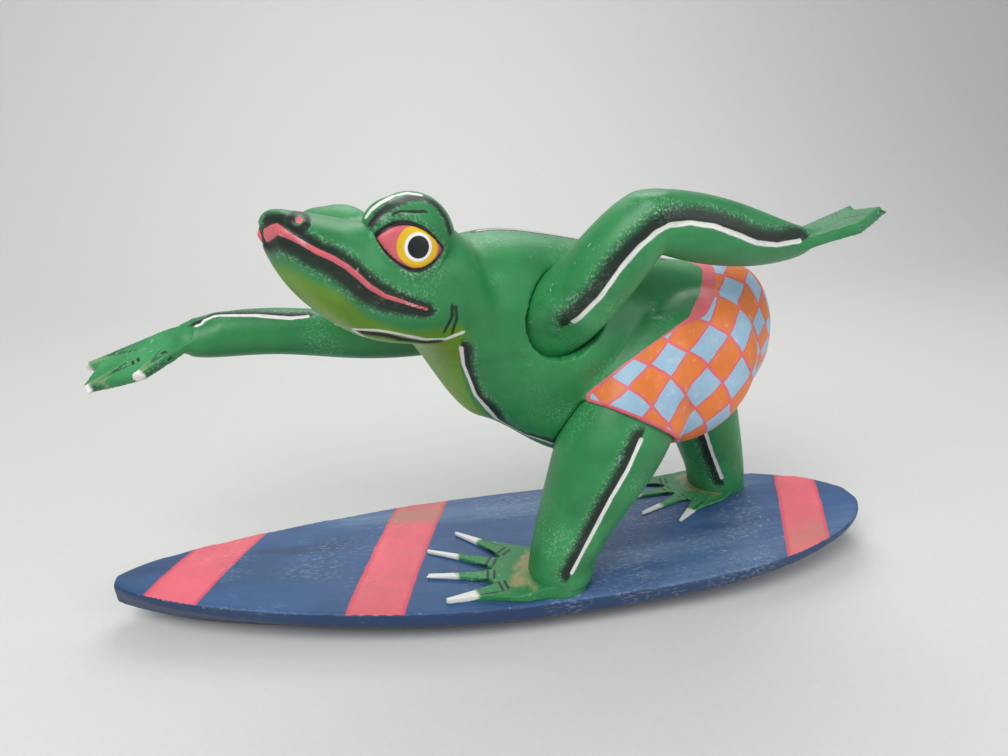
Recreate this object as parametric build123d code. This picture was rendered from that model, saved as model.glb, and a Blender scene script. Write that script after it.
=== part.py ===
"""Carved and painted wooden frog riding a surfboard, an ornament that stands on a shelf.

The frog is a head-and-body block with two arms, two legs and two webbed feet let into it or set under it,
each held by a glued wooden peg, and the feet are pegged to a carved board.
Frame: millimetres, +Z up, origin at the middle of the board's flat underside, the board's nose towards -X.
"""

import math
import os

from build123d import *

# Board
BOARD_LENGTH = 300.0
BOARD_WIDTH = 84.0
BOARD_THICKNESS = 15.0
BOARD_CROWN = 2.0
BOARD_END_RISE = 5.0
BOARD_BELLY_RISE = 10.0
BOARD_RAIL = 5.5
BOARD_SOLE_CUT = 1.0
BOARD_FLAT_SHARE = 0.55
# Board stations from nose to tail: along (of the length), half width (of the width), rise of the belly
# off the shelf (of the belly's rise) and height of the rail (of the rail's height in the middle).
BOARD_STATION_SHARES = [
    (-0.500, 0.035, 1.00, 0.35), (-0.467, 0.125, 0.80, 0.45), (-0.407, 0.225, 0.45, 0.60),
    (-0.317, 0.330, 0.15, 0.80), (-0.200, 0.425, 0.00, 0.95), (-0.067, 0.490, 0.00, 1.00),
    (0.067, 0.500, 0.00, 1.00), (0.200, 0.490, 0.00, 0.95), (0.317, 0.440, 0.15, 0.80),
    (0.407, 0.340, 0.45, 0.60), (0.467, 0.215, 0.80, 0.45), (0.500, 0.060, 1.00, 0.35),
]

# Figure: places are shares of these three, measured from the deck above the board's middle
FIGURE_LENGTH = 200.0
FIGURE_WIDTH = 50.0
FIGURE_HEIGHT = 100.0
BODY_DEPTH = 80.0
# Body stations from rump to snout: along, side and height of the middle; half width (of the figure's width),
# rise above and fall below the middle (of the body's depth); turn of the section in degrees.
BODY_STATION_SHARES = [
    (0.492, 0.16, 0.79, 0.28, 0.24, 0.23, 0),
    (0.435, 0.14, 0.78, 0.46, 0.36, 0.34, 0),
    (0.345, 0.10, 0.76, 0.58, 0.40, 0.42, 0),
    (0.230, 0.06, 0.77, 0.60, 0.45, 0.47, 0),
    (0.110, 0.00, 0.82, 0.56, 0.47, 0.545, 2),
    (0.010, -0.04, 0.90, 0.54, 0.42, 0.54, 6),
    (-0.080, -0.10, 0.98, 0.50, 0.325, 0.50, 14),
    (-0.140, -0.18, 1.08, 0.52, 0.25, 0.42, 25),
    (-0.200, -0.32, 1.15, 0.52, 0.215, 0.31, 32),
    (-0.268, -0.49, 1.18, 0.46, 0.18, 0.285, 32),
    (-0.322, -0.62, 1.23, 0.38, 0.155, 0.245, 32),
    (-0.360, -0.72, 1.28, 0.30, 0.12, 0.195, 32),
    (-0.385, -0.78, 1.32, 0.21, 0.08, 0.13, 32),
    (-0.395, -0.81, 1.32, 0.12, 0.045, 0.07, 32),
]
RUMP_TIP_SHARES = (0.515, 0.17, 0.80)
SECTION_FULLNESS = 2.2
SECTION_POINTS = 16

# Eye mounds on top of the head
EYE_MOUND_LENGTH = 30.0
EYE_MOUND_WIDTH = 24.0
EYE_MOUND_HEIGHT = 30.0
EYE_MOUND_TURN_ANGLE = 32.0
EYE_MOUND_SHARES = {"left": (-0.198, -0.62, 1.265), "right": (-0.300, -0.10, 1.20)}

# Thigh masses under the painted shorts
THIGH_LENGTH = 62.0
THIGH_WIDTH = 38.0
THIGH_HEIGHT = 58.0
THIGH_LEAN_ANGLE = 35.0
THIGH_SHARES = {"left": (0.285, -0.30, 0.74), "right": (0.375, 0.36, 0.70)}
# Legs of the shorts, carved on the body: stations as for the legs below, down to the hem
SHORTS_STATION_SHARES = {
    "left": [(0.250, -0.22, 0.86, 0.48), (0.207, -0.35, 0.71, 0.52), (0.170, -0.46, 0.575, 0.51)],
    "right": [(0.375, 0.24, 0.74, 0.42), (0.395, 0.32, 0.60, 0.45), (0.420, 0.37, 0.46, 0.43)],
}

# Legs: along, side and height of each station from inside the thigh down, and radius (of the thickness)
LEG_THICKNESS = 40.0
LEG_STATION_SHARES = {
    "left": [(0.195, -0.37, 0.68, 0.44), (0.157, -0.46, 0.54, 0.475), (0.105, -0.53, 0.34, 0.395),
             (0.062, -0.57, 0.14, 0.305), (0.046, -0.58, -0.03, 0.29)],
    "right": [(0.405, 0.34, 0.56, 0.36), (0.425, 0.38, 0.42, 0.37), (0.465, 0.46, 0.22, 0.335),
              (0.490, 0.48, 0.06, 0.30), (0.498, 0.49, -0.03, 0.29)],
}

# Feet: a plate with four pointed toes fanned from the ankle
FOOT_THICKNESS = 3.0
FOOT_LENGTH = 52.0
FOOT_HEEL_RADIUS = 13.0
FOOT_HEADING_ANGLES = {"left": 160.0, "right": 195.0}
TOE_SPREAD_ANGLES = (-28.0, -9.5, 8.0, 28.0)
TOE_REACH_SHARES = (0.94, 1.0, 0.92, 0.82)
TOE_ROOT_SHARE = 0.44
TOE_TIP_WIDTH = 1.8

# Arms: stations as for the legs, with the hand's tip place last
ARM_THICKNESS = 20.0
UPPER_ARM_SHARES = [(0.010, -0.16, 0.85, 0.62), (0.042, -0.42, 0.97, 0.65), (0.094, -0.63, 1.12, 0.61),
                    (0.138, -0.71, 1.245, 0.56), (0.174, -0.74, 1.32, 0.49)]
FOREARM_SHARES = [(0.160, -0.74, 1.32, 0.45), (0.215, -0.72, 1.295, 0.52), (0.290, -0.66, 1.26, 0.54),
                  (0.370, -0.59, 1.225, 0.46), (0.465, -0.52, 1.20, 0.26)]
REACHING_ARM_SHARES = [(-0.030, 0.20, 0.92, 0.60), (-0.110, 0.40, 0.86, 0.55), (-0.200, 0.46, 0.825, 0.48),
                       (-0.270, 0.46, 0.825, 0.45), (-0.385, 0.44, 0.855, 0.43), (-0.510, 0.40, 0.87, 0.41),
                       (-0.575, 0.36, 0.88, 0.38)]
ELBOW_SHARE = 1.04
WRIST_SHARE = 0.94
HAND_LENGTH = {"left": 35.0, "right": 39.5}
HAND_WIDTH = 29.0
HAND_THICKNESS = 4.0
HAND_TIP_SHARES = {"left": (0.645, -0.42, 1.29), "right": (-0.750, 0.26, 0.73)}
HAND_ROLL_ANGLES = {"left": -3.0, "right": 20.0}
# Hand outline from the wrist: share of the length, share of the width from the middle line.
HAND_OUTLINE_SHARES = [(-0.12, 0.22), (0.40, 0.34), (0.99, 0.46), (0.84, 0.24), (1.0, -0.04),
                       (0.70, -0.25), (0.49, -0.37), (0.25, -0.30), (-0.12, -0.22)]

# Pegs: glued wooden pins across each joint
PEG_DIAMETER = 6.0
PEG_LENGTH = 22.0
PEG_CLEARANCE = 0.1
PEG_END_GAP = 0.5
ANKLE_PEG_LENGTH = 20.0
ANKLE_PEG_DEPTH = 6.0

DECK_HEIGHT = BOARD_THICKNESS
SIDES = ("left", "right")


def place(shares):
    """Point of the figure at shares of its length, width and height above the deck."""
    along, side, height = shares[:3]
    return Vector(along * FIGURE_LENGTH, side * FIGURE_WIDTH, DECK_HEIGHT + height * FIGURE_HEIGHT)


def section(middle, ahead, across, half_width, rise, fall):
    """Closed rounded outline about a middle point, square to the direction ahead."""
    ahead = ahead.normalized()
    across = (across - ahead * across.dot(ahead)).normalized()
    up = across.cross(ahead) if across.cross(ahead).Z >= 0 else ahead.cross(across)
    points = []
    for k in range(SECTION_POINTS):
        angle = 2 * math.pi * k / SECTION_POINTS
        c, s = math.cos(angle), math.sin(angle)
        out = half_width * math.copysign(abs(c) ** (2 / SECTION_FULLNESS), c)
        high = (rise if s > 0 else fall) * math.copysign(abs(s) ** (2 / SECTION_FULLNESS), s)
        points.append(middle + across * out + up * high)
    return Wire([Spline(*points, periodic=True)])


def limb(stations, thickness):
    """Tapering round limb through stations whose last share is the radius."""
    middles = [place(s) for s in stations]
    befores, afters = [middles[0], *middles], [*middles[1:], middles[-1]]
    rings = []
    for station, middle, before, after in zip(stations, middles, befores, afters):
        radius = station[3] * thickness
        rings.append(section(middle, after - before, Vector(0, 1, 0), radius, radius, radius))
    return Solid.make_loft(rings)


def ellipsoid(middle, length, width, height, turn=0.0, lean=0.0):
    """Ellipsoid by its three full sizes, leaned about Y and then turned about Z."""
    ball = scale(Sphere(1.0), by=(length / 2, width / 2, height / 2))
    return ball.rotate(Axis.Y, lean).rotate(Axis.Z, turn).translate(middle)


def surfboard():
    """Board carved through cross-sections: crowned deck, upright rail, undercut and a belly planed flat."""
    sections = []
    for along, half, belly, rail in BOARD_STATION_SHARES:
        x, rim = along * BOARD_LENGTH, half * BOARD_WIDTH
        lift = BOARD_END_RISE * (2 * along) ** 2
        edge = BOARD_THICKNESS - BOARD_CROWN + lift
        crest = edge + BOARD_CROWN * 2 * half
        under = edge - rail * BOARD_RAIL
        low, flat = belly * BOARD_BELLY_RISE - BOARD_SOLE_CUT, rim * BOARD_FLAT_SHARE
        corners = [(x, rim, edge), (x, rim, under), (x, flat, low),
                   (x, -flat, low), (x, -rim, under), (x, -rim, edge)]
        sides = [Line(p, q) for p, q in zip(corners, corners[1:])]
        sections.append(Wire([*sides, ThreePointArc(corners[-1], (x, 0.0, crest), corners[0])]))
    return split(Solid.make_loft(sections), bisect_by=Plane.XY, keep=Keep.TOP)


def head_and_body():
    """One block from rump to snout, with thigh masses and eye mounds carved on it."""
    rings = [Vertex(*place(RUMP_TIP_SHARES))]
    for along, side, height, wide, rise, fall, turn in BODY_STATION_SHARES:
        angle = math.radians(turn)
        ahead = Vector(-math.cos(angle), -math.sin(angle), 0)
        across = Vector(math.sin(angle), -math.cos(angle), 0)
        rings.append(section(place((along, side, height)), ahead, across, wide * FIGURE_WIDTH,
                             rise * BODY_DEPTH, fall * BODY_DEPTH))
    block = Solid.make_loft(rings)
    for name in SIDES:
        block += ellipsoid(place(EYE_MOUND_SHARES[name]), EYE_MOUND_LENGTH, EYE_MOUND_WIDTH,
                           EYE_MOUND_HEIGHT, turn=EYE_MOUND_TURN_ANGLE)
        block += ellipsoid(place(THIGH_SHARES[name]), THIGH_LENGTH, THIGH_WIDTH, THIGH_HEIGHT,
                           lean=-THIGH_LEAN_ANGLE)
        block += limb(SHORTS_STATION_SHARES[name], LEG_THICKNESS)
    return block


def hand(name, wrist):
    """Round wrist and flat webbed hand with three fingers, rolled about its own length."""
    start = place(wrist)
    ahead = (place(HAND_TIP_SHARES[name]) - start).normalized()
    roll = math.radians(HAND_ROLL_ANGLES[name])
    across = Vector(0, math.cos(roll), math.sin(roll))
    flat = Plane(origin=start, x_dir=ahead, z_dir=ahead.cross(across))
    outline = [(a * HAND_LENGTH[name], b * HAND_WIDTH) for a, b in HAND_OUTLINE_SHARES]
    palm = extrude(flat * make_face(Polyline(*outline, close=True)), HAND_THICKNESS / 2, both=True)
    return palm + Sphere(wrist[3] * ARM_THICKNESS * WRIST_SHARE).translate(start)


def left_arm():
    """Raised arm: upper arm to a high elbow, forearm laid back over the rump, hand behind."""
    upper = limb(UPPER_ARM_SHARES, ARM_THICKNESS)
    fore = limb(FOREARM_SHARES, ARM_THICKNESS)
    elbow = UPPER_ARM_SHARES[-1]
    knob = Sphere(elbow[3] * ARM_THICKNESS * ELBOW_SHARE).translate(place(elbow))
    return upper + knob + fore + hand("left", FOREARM_SHARES[-1])


def right_arm():
    """Arm reaching forward past the jaw, with the hand spread."""
    return limb(REACHING_ARM_SHARES, ARM_THICKNESS) + hand("right", REACHING_ARM_SHARES[-1])


def leg(name):
    """Leg from inside the shorts down to the flat top of the foot."""
    sole = Plane.XY.offset(DECK_HEIGHT + FOOT_THICKNESS)
    return split(limb(LEG_STATION_SHARES[name], LEG_THICKNESS), bisect_by=sole, keep=Keep.TOP)


def ankle(name):
    """Point of the leg's middle line at the deck."""
    foot_end = place(LEG_STATION_SHARES[name][-1])
    return Vector(foot_end.X, foot_end.Y, DECK_HEIGHT)


def foot(name):
    """Webbed foot: heel round the ankle and toes fanned ahead of it, deep enough to meet the crowned deck."""
    middle = ankle(name)
    outline = []
    heading = FOOT_HEADING_ANGLES[name]
    for k, (spread, share) in enumerate(zip(TOE_SPREAD_ANGLES, TOE_REACH_SHARES)):
        angle = math.radians(heading + spread)
        out, over = Vector(math.cos(angle), math.sin(angle)), Vector(-math.sin(angle), math.cos(angle))
        tip = out * FOOT_LENGTH * share
        outline += [tip - over * (TOE_TIP_WIDTH / 2), tip + over * (TOE_TIP_WIDTH / 2)]
        if k + 1 < len(TOE_SPREAD_ANGLES):
            between = math.radians(heading + (spread + TOE_SPREAD_ANGLES[k + 1]) / 2)
            outline.append(Vector(math.cos(between), math.sin(between)) * (TOE_ROOT_SHARE * FOOT_LENGTH))
    heel_angles = [math.radians(heading + turn) for turn in (90, 180, -90)]
    heel = [Vector(math.cos(a), math.sin(a)) * FOOT_HEEL_RADIUS for a in heel_angles]
    toes = Polyline(heel[2], *outline, heel[0])
    back = ThreePointArc(heel[0], heel[1], heel[2])
    plate = extrude(Face(Wire([*toes.edges(), back])), BOARD_CROWN + FOOT_THICKNESS, dir=(0, 0, 1))
    return plate.translate(Vector(middle.X, middle.Y, DECK_HEIGHT - BOARD_CROWN))


def peg(middle, along, length):
    """Peg centred on a joint and the slightly larger hole that it is glued into."""
    axis = Plane(origin=middle, z_dir=along)
    pin = axis * Cylinder(PEG_DIAMETER / 2, length)
    bore = axis * Cylinder(PEG_DIAMETER / 2 + PEG_CLEARANCE, length + 2 * PEG_END_GAP)
    return pin, bore


def build():
    """Every piece by its node name."""
    board = surfboard()
    block = head_and_body()
    pieces = {"left_arm": left_arm(), "right_arm": right_arm()}
    for name in SIDES:
        pieces[f"{name}_foot"] = foot(name) - board
        pieces[f"{name}_leg"] = leg(name)

    pieces["right_arm"] -= pieces["left_arm"]
    for limb_name in ("left_arm", "right_arm", "left_leg", "right_leg"):
        block -= pieces[limb_name]

    arm_stations = {"left": UPPER_ARM_SHARES, "right": REACHING_ARM_SHARES}
    for name in SIDES:
        stations = {"arm": arm_stations[name], "leg": LEG_STATION_SHARES[name]}
        for kind, joint in (("arm", "shoulder"), ("leg", "hip")):
            root, following = place(stations[kind][0]), place(stations[kind][1])
            pin, bore = peg(root, following - root, PEG_LENGTH)
            pieces[f"{name}_{joint}_peg"] = pin
            pieces[f"{name}_{kind}"] -= bore
            block -= bore
        peg_middle = ankle(name) + Vector(0, 0, ANKLE_PEG_LENGTH / 2 - ANKLE_PEG_DEPTH)
        pin, bore = peg(peg_middle, Vector(0, 0, 1), ANKLE_PEG_LENGTH)
        pieces[f"{name}_ankle_peg"] = pin
        pieces[f"{name}_leg"] -= bore
        pieces[f"{name}_foot"] -= bore
        board -= bore
    return {"surfboard": board, "head_and_body": block, **pieces}


def main():
    os.makedirs("parts", exist_ok=True)
    for name, piece in build().items():
        export_step(piece, f"parts/{name}.step")


main()
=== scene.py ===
import math

import bmesh
import bpy
import numpy as np
from mathutils import Matrix, Vector
from mathutils.bvhtree import BVHTree


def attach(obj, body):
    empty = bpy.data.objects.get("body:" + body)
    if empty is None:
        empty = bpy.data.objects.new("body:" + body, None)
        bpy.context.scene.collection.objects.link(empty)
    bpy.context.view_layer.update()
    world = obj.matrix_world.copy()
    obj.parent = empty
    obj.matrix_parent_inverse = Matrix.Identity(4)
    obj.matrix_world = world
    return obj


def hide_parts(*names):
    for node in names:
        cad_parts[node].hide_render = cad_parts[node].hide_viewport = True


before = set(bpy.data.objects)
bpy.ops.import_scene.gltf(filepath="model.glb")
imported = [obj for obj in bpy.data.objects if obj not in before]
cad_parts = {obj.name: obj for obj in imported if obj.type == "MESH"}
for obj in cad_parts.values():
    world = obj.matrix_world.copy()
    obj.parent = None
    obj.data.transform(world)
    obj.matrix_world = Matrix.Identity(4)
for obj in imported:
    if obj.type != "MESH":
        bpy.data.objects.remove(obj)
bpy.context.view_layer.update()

MM = 0.001

# Camera: place in millimetres, turn, dip and roll in degrees, focal length in pixels of the 1008 by 756 frame
VIEW_PLACE = np.array([-60.0, -266.0, 183.4])
VIEW_TURN, VIEW_DIP, VIEW_ROLL = 11.8, 20.1, -0.42
VIEW_FOCAL, VIEW_WIDE, VIEW_HIGH, SENSOR = 780.0, 1008, 756, 36.0

# Grid of each piece's skin in millimetres, rounds of sanding, and a distance that stands for nowhere near
BODY_GRAIN, LIMB_GRAIN, FOOT_GRAIN, BOARD_GRAIN = 0.84, 0.62, 0.48, 0.95
BODY_SANDING, ARM_SANDING, LEG_SANDING, FOOT_SANDING, BOARD_SANDING = 10, 12, 8, 5, 4
FAR = 40.0

# Head: middle of the neck in millimetres, the way it faces and its left
NECK = np.array([-16.0, -1.0, 120.0])
FACING = np.array([-0.848, -0.530, 0.0])
HEAD_TILT = math.radians(10.0)
HEAD_LEFT = np.array([-FACING[1] * math.cos(HEAD_TILT), FACING[0] * math.cos(HEAD_TILT), math.sin(HEAD_TILT)])
# Middle of the body: its lean across the board and offset, the spine's offset, its ends and the step along it
BODY_LEAN, BODY_MIDDLE, SPINE_MIDDLE = 0.09, -3.0, -2.0
SPINE_START, SPINE_END, SPINE_STEP, SPINE_ABOVE = -14.0, 58.0, 3.0, 200.0

# Painted strokes, each a row of points as they are seen from the camera's place
LIP = [(266, 235), (276, 229), (286, 234), (301, 242), (316, 251), (332, 258), (347, 267), (359, 277),
       (370, 287), (385, 296), (401, 301), (416, 306), (427, 309)]
JAW_CREASE = [(354, 329), (378, 330), (401, 334), (424, 339), (446, 339), (463, 332)]
JAW_HOLLOW = [(362, 333), (385, 336), (401, 340), (424, 343), (438, 342)]
JAW_UNDER = [(354, 331), (366, 338), (379, 342)]
CHEST_LINE = [(461, 348), (463, 365), (475, 395), (497, 420), (525, 435), (553, 444)]
GILLS = [[(452, 305), (452, 318), (444, 333)], [(456, 306), (457, 319), (452, 334)]]
BROW_WRINKLE = [(378, 231), (387, 222), (399, 215), (413, 211), (427, 211)]
BROW_CREST = [(366, 217), (371, 210), (380, 203), (393, 196), (407, 193), (421, 195)]
BROW_EDGE = [(371, 223), (379, 214), (393, 204), (408, 198), (424, 197), (437, 205), (446, 218), (450, 231)]
SNOUT_SMUDGE = [(267, 222), (278, 220), (290, 224)]
ARM_LINE = [(572, 325), (600, 298), (622, 267), (639, 248), (656, 233), (670, 225), (692, 223), (714, 226),
            (738, 235), (757, 243), (777, 245), (800, 241)]
ARM_SEAM = [(597, 240), (570, 268), (545, 295), (520, 325), (508, 350)]
REACH_LINE = [(193, 318), (213, 315), (254, 315), (290, 318), (308, 316)]
NEAR_LEG_LINE = [(641, 440), (628, 470), (611, 499), (594, 531), (572, 573)]
FAR_LEG_LINE = [(705, 430), (713, 455), (722, 478)]
# Single places, seen in the same way
EYE_MIDDLE, NOSTRIL, BROW_FOOT, FLANK = (418, 247), (299, 221), (379, 220), (688, 292)
SHOULDER, WRIST_KNOB, ARM_ROOT = (562, 350), (181, 322), (552, 340)

# Eye: reach, shift and half length of the almond, its slant and opening, values well outside it
EYE_REACH, EYE_SHIFT, EYE_HALF, EYE_SLANT = 17.0, 1.3, 9.9, 0.2
EYE_ABOVE, EYE_BELOW, NO_EYE, NO_LID = 6.3, 6.9, 60.0, -20.0
# Radii of the iris, the pale ring and the pupil
IRIS_RADIUS, RING_RADIUS, PUPIL_RADIUS = 6.0, 4.0, 3.15
# Eye as carved: rise of the ball, width of its edge, half widths of the groove round it and the fold outside
BALL_RISE, BALL_EDGE, LID_GROOVE, LID_FOLD = 0.7, 1.6, 1.1, 1.8
# Lip: half width at the nose, what it loses by its middle and by its corner
LIP_HALF, LIP_THINNING, LIP_CORNER = 1.9, 1.1, 0.35
# Lip as carved: half width and rise of its ridge; gap, half width and depth of the groove beside it
LIP_RIDGE, LIP_RISE, LIP_GAP, LIP_GROOVE, LIP_CUT = 1.6, 0.5, 0.6, 1.2, 0.35
# Nostril: reach, top and foot of its rim, rise, radius and depth of its hole, radius of its pink, black ring
NOSE_REACH, NOSE_TOP, NOSE_FOOT, NOSE_RISE, NOSE_HOLE, NOSE_CUT, NOSE_PINK = 9.0, 0.8, 3.2, 0.8, 1.6, 0.9, 0.9
NOSE_RING_INNER, NOSE_RING_OUTER = (1.0, 1.4), (2.7, 3.9)
# Creases as carved: stroke, half width and depth
CREASES = (("crease", 1.2, -0.3), ("hollow", 2.4, 0.9), ("wrinkle", 1.3, 0.55), ("gill", 0.9, 0.25),
           ("other gill", 0.9, 0.25), ("chest", 1.6, 0.35))
# Airbrushed black: stroke, reach, side, share that is full black, share that it loses at the end
AIRBRUSH = (("lip", 9.0, -1, 0.3, 0.4), ("lip", 6.0, 1, 0.2, 0.4), ("hollow", 2.6, 0, 0.4, 0.0),
            ("chest", 7.0, 1, 0.15, 0.0), ("edge", 3.4, 0, 0.0, 0.0), ("smudge", 5.0, 0, 0.1, 0.0))
SPINE_BRUSH, LEG_BRUSH = 5.0, 7.5
# Rounded places: height or depth, core and reach
BROW_RISE, BROW_CORE, BROW_REACH = 2.6, 2.0, 11.0
FLANK_CUT, FLANK_CORE, FLANK_REACH = 2.0, 3.0, 15.0
SHOULDER_SWELL, SHOULDER_CORE, SHOULDER_REACH, ARM_FILLET = 6.0, 10.0, 38.0, 18.0
ELBOW, ELBOW_CUT, ELBOW_CORE, ELBOW_REACH = np.array([34.0, -37.0, 157.5]), 1.8, 2.0, 9.0
LOW_CUT, LOW_CORE, LOW_REACH = 3.4, 2.0, 14.0
# White lines as cut and the rubbed seam of the raised arm: half widths and depth
LINE_HALF, LINE_CUT, SEAM_HALF = 1.4, 0.3, 3.0
# Pale belly and throat: where they start below the chest line and the lip, and how far along they go
CHEST_TOP, CHEST_FADE, BELLY_END = 120.0, 9.0, (20.0, 40.0)
THROAT_BELOW, THROAT_AHEAD = (5.0, 12.0), (14.0, 30.0)

# Waist of the shorts: as seen from the camera's place on the near side, by height in millimetres on the far
# side, and where across the body the one goes over into the other
WAIST_SEEN = [(704, 266), (701, 290), (689, 317), (670, 331), (650, 345), (616, 370), (586, 394)]
WAIST_HEIGHTS = [50.0, 70.0, 80.0, 85.0, 91.0, 98.0, 105.0, 116.0, 126.0]
WAIST_RIGHT = [62.0, 68.0, 66.0, 65.0, 64.0, 63.0, 62.0, 61.0, 61.0]
WAIST_TURN = (-12.0, 26.0)
# Pink waistband: width low down, what it gains above and where
BAND_WIDTH, BAND_GAIN, BAND_HEIGHTS = 1.1, 5.0, (106.0, 112.0)
# The two sets of check lines: start, checks per millimetre along the body and their change, checks per
# millimetre round the body and their change along it and round it
CHECKS = {"check_p": (-2.6, 0.0544, 0.000055, 0.161, -0.00148, 0.00035),
          "check_q": (-3.62, 0.0847, -0.00006, -0.1524, 0.00095, 0.00026)}
# Rump that the checks run round: start and stretch of its round end, middle, height and radius
RUMP_START, RUMP_STRETCH, RUMP_MIDDLE, RUMP_HIGH, RUMP_RADIUS = 86.0, 0.6, 5.0, 92.0, 31.0
# How far along and round the rump the checks go on changing
TWIST_END, CHANGE_END = 85.0, 30.0
# End of each leg of the shorts and the way it points, how far round it the hem goes and the hem's width
HEMS = (((34.0, -23.0, 72.5), (-0.45, -0.34, -0.83)), ((84.0, 18.5, 61.0), (0.33, 0.17, -0.93)))
HEM_REACH, HEM_WIDTH = 29.0, 1.4

# Toes and fingers: count, longest reach, half spread in degrees, root and tip width, thickness at the root,
# the longest one, falloff from it to the others and how the width tapers
FOOT_FAN = dict(toes=4, reach=51.0, spread=28.0, root=7.0, tip=1.3, thick=3.6, longest=1.0, falloff=0.045,
                taper=1.3)
HAND_FAN = dict(toes=3, spread=24.0, root=15.0, tip=2.4, thick=8.0, longest=1.6, falloff=0.184, taper=0.6)
HAND_TURN, HAND_REACH = -5.0, {"left": 37.2, "right": 42.0}
FOOT_PLACES = {"left": ((9.2, -29.0, 16.0), 160.0), "right": ((99.6, 24.5, 16.3), 195.0)}
HAND_PLACES = {"left": ((93.0, -26.0, 135.0), (129.0, -21.0, 144.0), -3.0),
               "right": ((-115.0, 18.0, 103.0), (-150.0, 13.0, 88.0), 20.0)}
# Painted fingers: width at the root and edges beyond it
FINGER_ROOT, FINGER_EDGE, WEB_EDGE, RIM_EDGE = 9.0, 0.6, 1.2, (0.1, 0.7)
# Joint lines along and across a finger, half width of a nail, and how far the palm goes
JOINT_SHARES, JOINT_HALF, NAIL_HALF, PALM_SHARE, PALM_SHARES = (0.48, 0.53), 2.2, 2.8, 0.3, (0.25, 0.45)
# Arms: white line, reach of its airbrush, end that is rubbed down, share of white nail and of dusty web
ARMS = {"left": dict(line=ARM_LINE, brush=9.0, low=ARM_ROOT, nail=0.66, web=0.3),
        "right": dict(line=REACH_LINE, brush=5.0, low=WRIST_KNOB, nail=0.8, web=1.0)}
LEG_LINES = {"left": NEAR_LEG_LINE, "right": FAR_LEG_LINE}
# Lower end of a leg, let into the foot: depth and heights between which it fades out
LEG_SINK, LEG_SINK_HEIGHTS = 3.2, (17.5, 25.0)
# Foot: ankle's radius, heel tucked under it, toes slimmed and lowered to the deck, glue before the ankle
ANKLE_RADIUS, HEEL_TUCK, HEEL_AHEAD = 11.2, 0.92, (-2.0, 9.0)
TOE_SLIM, TOE_SLIM_SHARES, TOE_LOWER, TOE_LOWER_FAR = 0.45, (0.4, 0.8), 0.6, (12.0, 22.0)
TOE_FLOOR, DROP_HEIGHT, GLUE_FAR, GLUE_AHEAD = 0.8, 40.0, (13.0, 24.0), (0.0, 12.0)

# Pink bands of the board: middle, slant and half width, and the line along the board where that middle lies
BANDS = ((-135.1, 0.46, 11.4), (-56.5, 0.335, 11.0), (111.4, 0.47, 9.5))
BAND_FRONT = -30.0
# Rails of the board, darkened with painted shade: how far up a face looks there, and on the rubbed edge above
# them
RAIL_SHADE_LOOK, EDGE_LOOK, EDGE_SPAN, EDGE_RUB = (0.55, 0.9), 0.7, 0.25, 0.6

# Floor in metres: front, start and radius of its bend, top of the backdrop, half width
FLOOR_FRONT, FLOOR_BEND, BEND_RADIUS, BACKDROP_TOP, FLOOR_HALF = -1.6, 0.45, 0.35, 1.8, 2.2
# Soft lamps: name, place and width in metres, watts; the place they point at
LAMPS = (("key", (-0.45, -0.55, 0.85), 0.6, 7.6), ("fill", (0.7, -0.6, 0.5), 0.8, 3.2),
         ("back", (0.1, 0.5, 0.8), 0.6, 3.4))
LAMP_AIM = (0.0, 0.0, 0.08)
SKY_LIGHT, SKY_STRENGTH = (0.9, 0.93, 1.0, 1.0), 0.38


def view_axes():
    """Right, up and forward of the camera."""
    turn, dip, roll = (math.radians(a) for a in (VIEW_TURN, VIEW_DIP, VIEW_ROLL))
    ahead = np.array([math.sin(turn) * math.cos(dip), math.cos(turn) * math.cos(dip), -math.sin(dip)])
    right = np.array([math.cos(turn), -math.sin(turn), 0.0])
    up = np.cross(right, ahead)
    level, tip = math.cos(roll), math.sin(roll)
    return level * right + tip * up, level * up - tip * right, ahead


VIEW_RIGHT, VIEW_UP, VIEW_AHEAD = view_axes()


def sight(point):
    """Direction from the camera's place through a point of the frame."""
    x, y = point
    line = VIEW_RIGHT * (x - VIEW_WIDE / 2) + VIEW_UP * (VIEW_HIGH / 2 - y) + VIEW_AHEAD * VIEW_FOCAL
    return line / np.linalg.norm(line)


def link(name, mesh):
    """New object for a mesh, in the scene."""
    piece = bpy.data.objects.new(name, mesh)
    bpy.context.scene.collection.objects.link(piece)
    return piece


def settle(piece):
    """The piece's mesh with its modifiers worked in."""
    bpy.context.view_layer.update()
    done = bpy.data.meshes.new_from_object(piece.evaluated_get(bpy.context.evaluated_depsgraph_get()))
    piece.modifiers.clear()
    old = piece.data
    piece.data = done
    bpy.data.meshes.remove(old)


def blank(name, nodes, grain, rounds, extras=()):
    """Solid wood of one piece: the solids' meshes and any extra meshes made one skin and sanded."""
    shape = bmesh.new()
    for source in [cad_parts[n].data for n in nodes] + list(extras):
        shape.from_mesh(source)
    bmesh.ops.remove_doubles(shape, verts=shape.verts, dist=1e-6)
    mesh = bpy.data.meshes.new(name)
    shape.to_mesh(mesh)
    shape.free()
    piece = link(name, mesh)
    skin = piece.modifiers.new("skin", "REMESH")
    skin.mode = "VOXEL"
    skin.voxel_size = grain * MM
    sand = piece.modifiers.new("sand", "SMOOTH")
    sand.factor = 0.5
    sand.iterations = rounds
    settle(piece)
    piece.data.materials.clear()
    return piece


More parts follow.
